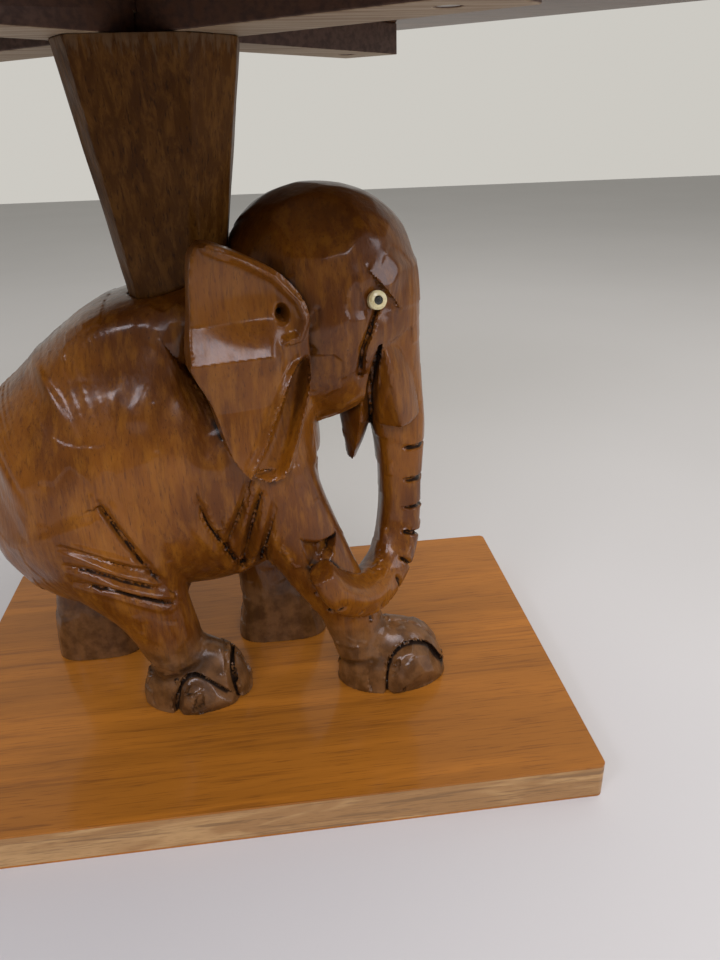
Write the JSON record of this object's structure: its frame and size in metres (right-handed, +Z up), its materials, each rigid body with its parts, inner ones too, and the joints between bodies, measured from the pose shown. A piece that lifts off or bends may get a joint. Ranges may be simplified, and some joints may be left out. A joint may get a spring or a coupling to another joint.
{
  "type": "carved elephant table",
  "caption": "Carved wooden elephant on a veneered board, with a tapered post on its back that carries a square veneered top on crossed battens.",
  "frame": {"origin": "on the floor, under the axis of the post, which is also the middle of the tabletop", "axes": "+Z up, +X the way the elephant faces, along the base board's long edge"},
  "size_m": [0.5228, 0.5228, 0.34],
  "materials": {
    "carved_wood": "dark red-brown hardwood, hand carved, glossy varnish, darker in the cuts and on the feet",
    "post_wood": "dark brown mottled hardwood, adzed facets, satin varnish",
    "dowel_wood": "pale plain beech dowel",
    "eye_bone": "cream bone or horn ring, polished",
    "pupil": "near-black polished plug",
    "board_core": "raw board core",
    "board_veneer": "warm orange-brown veneer with dark streaks along its length, satin varnish",
    "board_underside": "dark brown stained underside veneer",
    "board_lipping": "light tan solid wood edge with a wavy figure",
    "batten_wood": "brown stained sawn batten with a paler underside",
    "screw_steel": "plain steel countersunk wood screw"
  },
  "bodies": {
    "root": {"elephant": "carved_wood", "post": "post_wood", "post_dowel": "dowel_wood", "eye_ring_near": "eye_bone", "eye_ring_far": "eye_bone", "pupil_near": "pupil", "pupil_far": "pupil", "base_core": "board_core", "base_top_veneer": "board_veneer", "base_bottom_veneer": "board_veneer", "base_lipping_front": "board_lipping", "base_lipping_back": "board_lipping", "base_lipping_left": "board_lipping", "base_lipping_right": "board_lipping", "foot_screw_near_front": "screw_steel", "foot_screw_near_rear": "screw_steel", "foot_screw_far_front": "screw_steel", "foot_screw_far_rear": "screw_steel", "batten_lower": "batten_wood", "batten_upper": "batten_wood", "batten_screw_1": "screw_steel", "batten_screw_2": "screw_steel", "batten_screw_3": "screw_steel", "batten_screw_4": "screw_steel", "post_screw": "screw_steel", "table_core": "board_core", "table_top_veneer": "board_veneer", "table_bottom_veneer": "board_underside", "table_lipping_front": "board_lipping", "table_lipping_back": "board_lipping", "table_lipping_left": "board_lipping", "table_lipping_right": "board_lipping"}
  },
  "joints": []
}
